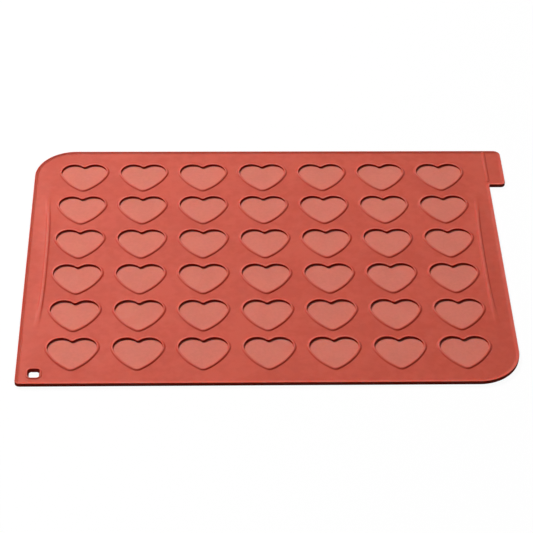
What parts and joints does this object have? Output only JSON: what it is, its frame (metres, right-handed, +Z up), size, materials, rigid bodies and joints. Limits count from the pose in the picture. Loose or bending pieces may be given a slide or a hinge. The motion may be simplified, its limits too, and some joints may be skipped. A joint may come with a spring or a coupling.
{
  "type": "silicone baking mat",
  "caption": "Flat silicone baking mat with a raised border, a grid of shallow heart moulds with raised rims, a corner tab and a square hang slot.",
  "frame": {"origin": "middle of the underside of the rectangular body, the tab left out", "axes": "+X to the side with the tab, +Y to the back edge, away from the heart tips, +Z up out of the moulds"},
  "size_m": [0.4144, 0.3, 0.0033],
  "materials": {
    "silicone": "satin terracotta red silicone, with a finer matte surface in the heart floors"
  },
  "bodies": {
    "root": {"mat": "silicone"}
  },
  "joints": []
}
